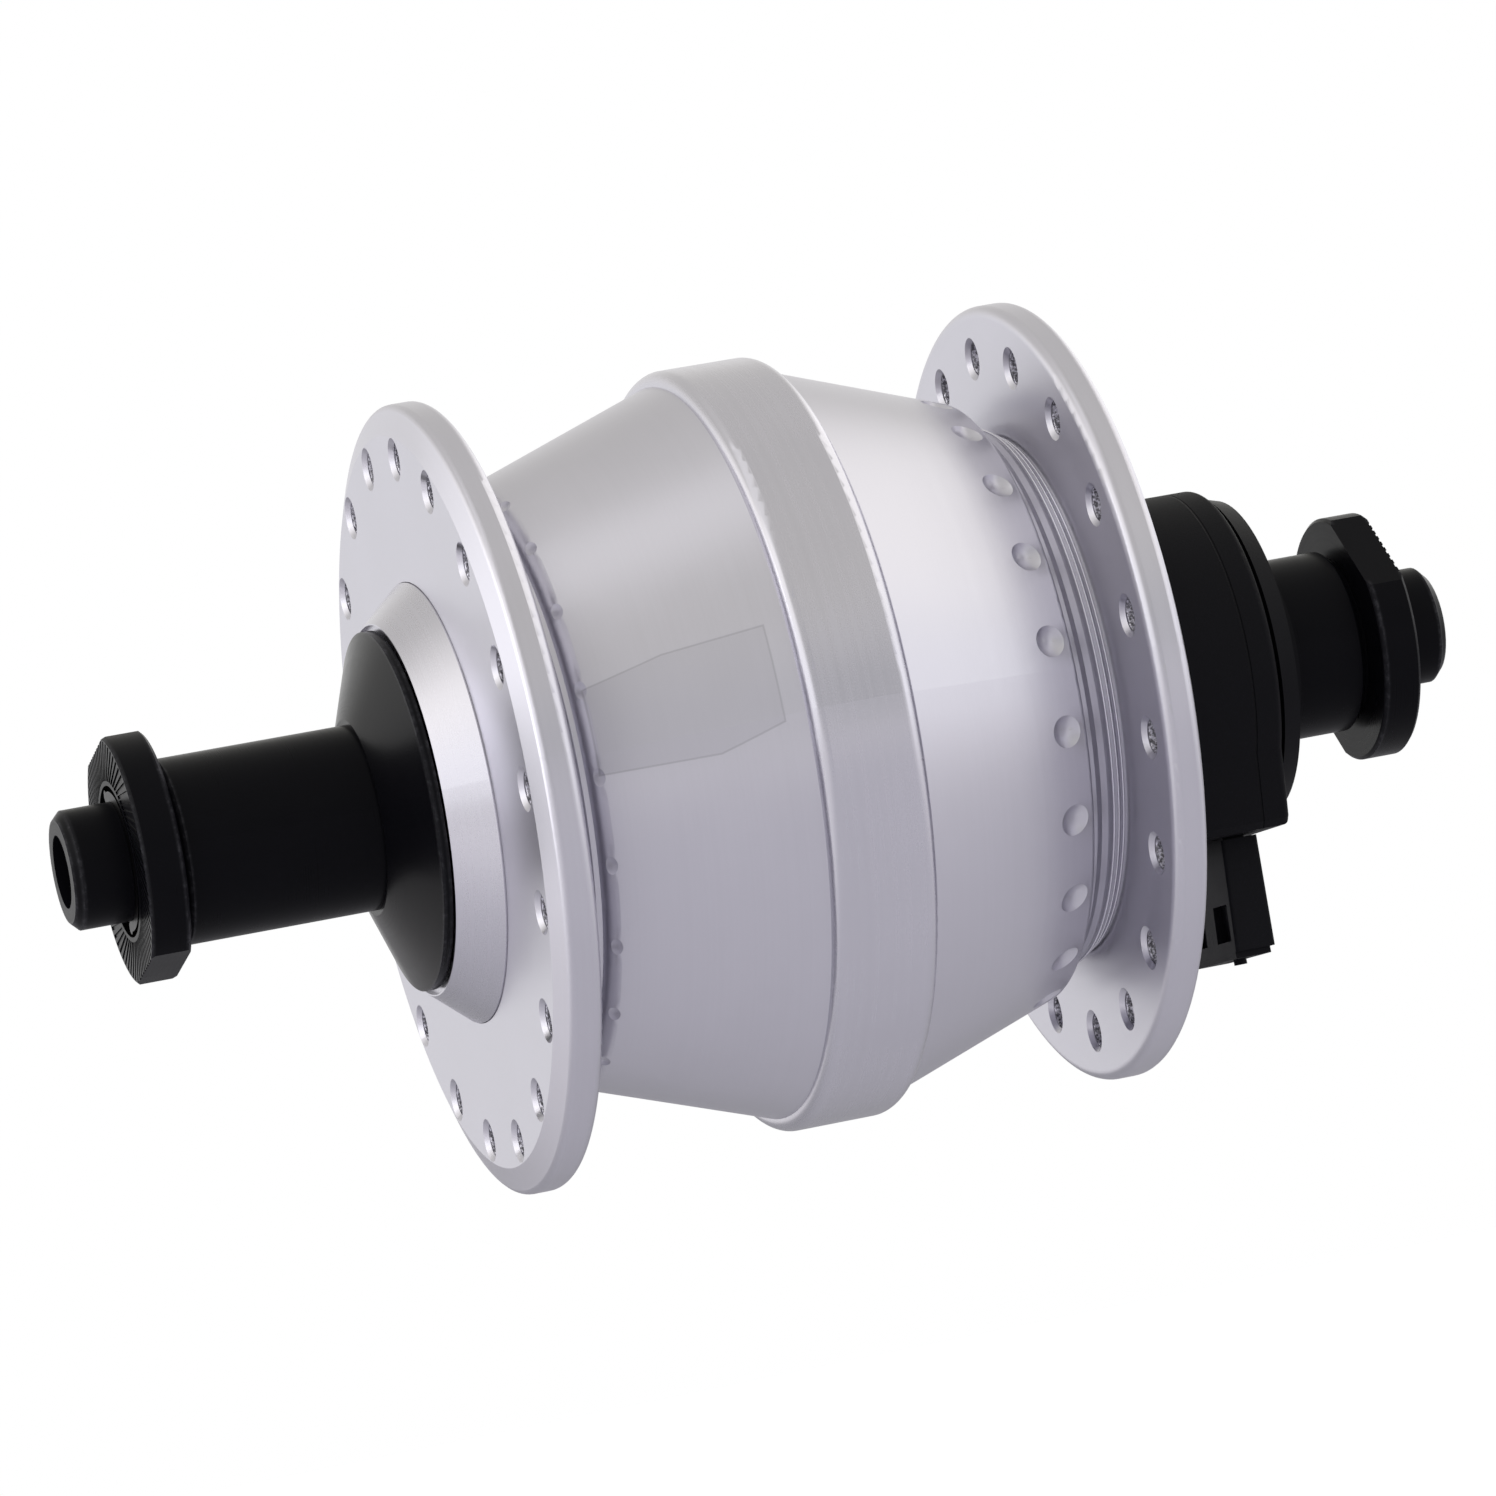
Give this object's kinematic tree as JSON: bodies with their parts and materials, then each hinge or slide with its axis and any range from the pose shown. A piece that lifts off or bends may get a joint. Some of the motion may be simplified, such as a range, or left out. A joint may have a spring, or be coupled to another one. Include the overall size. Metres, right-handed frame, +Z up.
{
  "type": "hub dynamo",
  "caption": "Bicycle front wheel hub with a built-in generator: flanged silver shell turning on a fixed hollow axle, with locknuts, a connector housing and a pull-off plug.",
  "frame": {"origin": "on the axle's centre line, midway between the outer faces of the two locknuts: the wheel's centre", "axes": "+Y along the axle towards the connector end, +Z up with the plug hanging down -Z"},
  "size_m": [0.06, 0.1086, 0.0598],
  "materials": {
    "shell_aluminium": "satin turned and anodised",
    "band_aluminium": "polished",
    "cap_aluminium": "satin turned and anodised",
    "black_steel": "black, semi-gloss",
    "black_aluminium": "black anodised, semi-gloss",
    "spring_steel": "dark",
    "bearing_steel": "ground",
    "bearing_trim": "pressed sheet",
    "seal_rubber": "matt",
    "soft_iron": "zinc plated",
    "ferrite": "matt",
    "bobbin_plastic": "moulded",
    "copper": "enamelled wire",
    "contact_brass": "bright",
    "connector_plastic": "moulded, fine texture",
    "disc_plastic": "moulded, semi-gloss",
    "plug_plastic": "moulded, fine texture"
  },
  "bodies": {
    "axle_body": {"axle": "black_steel", "left_axle_clip": "spring_steel", "right_axle_clip": "spring_steel", "left_locknut": "black_steel", "right_locknut": "black_steel", "left_spacer_sleeve": "black_aluminium", "right_spacer_sleeve": "black_aluminium", "left_cone_cover": "black_aluminium", "left_inner_race": "bearing_steel", "right_inner_race": "bearing_steel", "stator_core": "soft_iron", "stator_claw_left": "soft_iron", "stator_claw_right": "soft_iron", "coil_bobbin": "bobbin_plastic", "coil_winding": "copper", "stator_washer": "soft_iron", "stator_nut": "soft_iron", "race_spacer": "soft_iron", "connector_spacer": "soft_iron", "connector_base": "connector_plastic", "connector_cover": "connector_plastic", "connector_disc": "disc_plastic", "connector_blades": "contact_brass", "coil_leads": "copper"},
    "hub_body": {"hub_shell_left": "shell_aluminium", "hub_shell_right": "shell_aluminium", "centre_band": "band_aluminium", "shell_joint_seal": "seal_rubber", "left_end_cap": "cap_aluminium", "right_end_cap": "cap_aluminium", "left_axle_seal": "seal_rubber", "right_axle_seal": "seal_rubber", "flux_ring": "soft_iron", "rotor_magnets": "ferrite", "left_outer_race": "bearing_steel", "right_outer_race": "bearing_steel", "left_bearing_shields": "bearing_trim", "right_bearing_shields": "bearing_trim"},
    "left_ball_set": {"left_bearing_balls": "bearing_steel", "left_ball_cage": "bearing_trim"},
    "right_ball_set": {"right_bearing_balls": "bearing_steel", "right_ball_cage": "bearing_trim"},
    "plug": {"plug_body": "plug_plastic", "plug_cap": "plug_plastic", "plug_contacts": "contact_brass"}
  },
  "joints": [
    {"name": "hub_spin", "type": "hinge", "parent": "axle_body", "child": "hub_body", "pos_m": [0, 0, 0], "axis": [0, 1, 0], "continuous": true},
    {"name": "left_ball_spin", "type": "hinge", "parent": "axle_body", "child": "left_ball_set", "pos_m": [0, -0.0234, 0], "axis": [0, 1, 0], "continuous": true},
    {"name": "right_ball_spin", "type": "hinge", "parent": "axle_body", "child": "right_ball_set", "pos_m": [0, 0.0234, 0], "axis": [0, 1, 0], "continuous": true},
    {"name": "plug_pull", "type": "slide", "parent": "axle_body", "child": "plug", "axis": [0, 0, -1], "range_m": [0, 0.005]}
  ],
  "couplings": [
    {"joint": "left_ball_spin", "follows": "hub_spin", "ratio": 0.6107},
    {"joint": "right_ball_spin", "follows": "hub_spin", "ratio": 0.6107}
  ]
}
